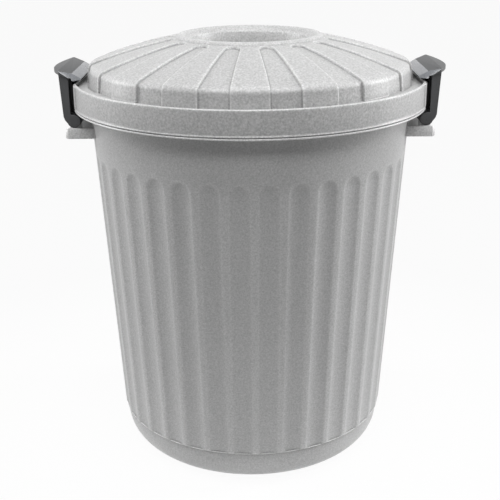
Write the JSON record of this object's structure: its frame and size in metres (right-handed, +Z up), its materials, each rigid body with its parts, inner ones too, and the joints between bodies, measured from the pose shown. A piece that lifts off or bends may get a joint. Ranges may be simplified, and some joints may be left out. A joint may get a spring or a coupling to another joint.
{
  "type": "lidded dustbin",
  "caption": "Round tapered bin with a fluted bucket, a domed lid with raised radial panels and a grip dish, and hinged clips that hook over the lid edge to hold it shut.",
  "frame": {"origin": "centre of the base ring on the floor, on the axis of the bin", "axes": "+Z up along the axis of the bin, -Y towards the front, +X towards the right clip as seen from the front"},
  "size_m": [0.507, 0.46, 0.5636],
  "materials": {
    "bucket_grey": "light grey moulded plastic, smooth with a faint speckle",
    "lid_grey": "light grey moulded plastic with a fine grain",
    "clip_charcoal": "charcoal moulded plastic, satin"
  },
  "bodies": {
    "bucket_body": {"bucket": "bucket_grey"},
    "lid_body": {"lid": "lid_grey"},
    "clip_left_body": {"clip_left": "clip_charcoal"},
    "clip_right_body": {"clip_right": "clip_charcoal"}
  },
  "joints": [
    {"name": "lid_lift", "type": "slide", "parent": "bucket_body", "child": "lid_body", "axis": [0, 0, 1], "range_m": [0, 0.036]},
    {"name": "clip_left_swing", "type": "hinge", "parent": "bucket_body", "child": "clip_left_body", "pos_m": [-0.22447, 0, 0.4612], "axis": [0, -1, 0], "range_deg": [0, 87]},
    {"name": "clip_right_swing", "type": "hinge", "parent": "bucket_body", "child": "clip_right_body", "pos_m": [0.22447, 0, 0.4612], "axis": [0, 1, 0], "range_deg": [0, 87]}
  ],
  "couplings": [
    {"joint": "clip_left_swing", "follows": "lid_lift", "rad_per_m": 41.888},
    {"joint": "clip_right_swing", "follows": "lid_lift", "rad_per_m": 41.888}
  ]
}
